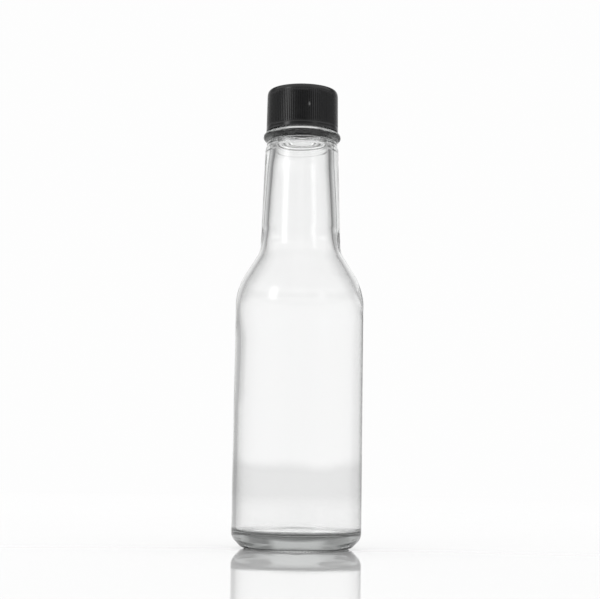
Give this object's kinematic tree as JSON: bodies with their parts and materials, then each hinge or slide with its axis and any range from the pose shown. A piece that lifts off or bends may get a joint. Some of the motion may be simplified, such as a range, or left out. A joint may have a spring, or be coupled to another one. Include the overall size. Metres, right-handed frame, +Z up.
{
  "type": "glass sauce bottle",
  "caption": "Empty clear glass sauce bottle with a round body, sloping shoulder and long tapered neck, closed by a black ribbed plastic screw cap.",
  "frame": {"origin": "middle of the ring that the bottle stands on, at the table", "axes": "+Z up the bottle's axis to the cap; the bottle is round, so X and Y are free, with -Y the side the picture shows"},
  "size_m": [0.0468, 0.0468, 0.1674],
  "materials": {
    "clear_glass": "clear polished soda-lime glass with a faint cool green tint where it is thick",
    "black_plastic": "satin moulded black, fine vertical ribs, smoother on the crown and the band at the foot"
  },
  "bodies": {
    "root": {"bottle": "clear_glass", "cap": "black_plastic"}
  },
  "joints": []
}
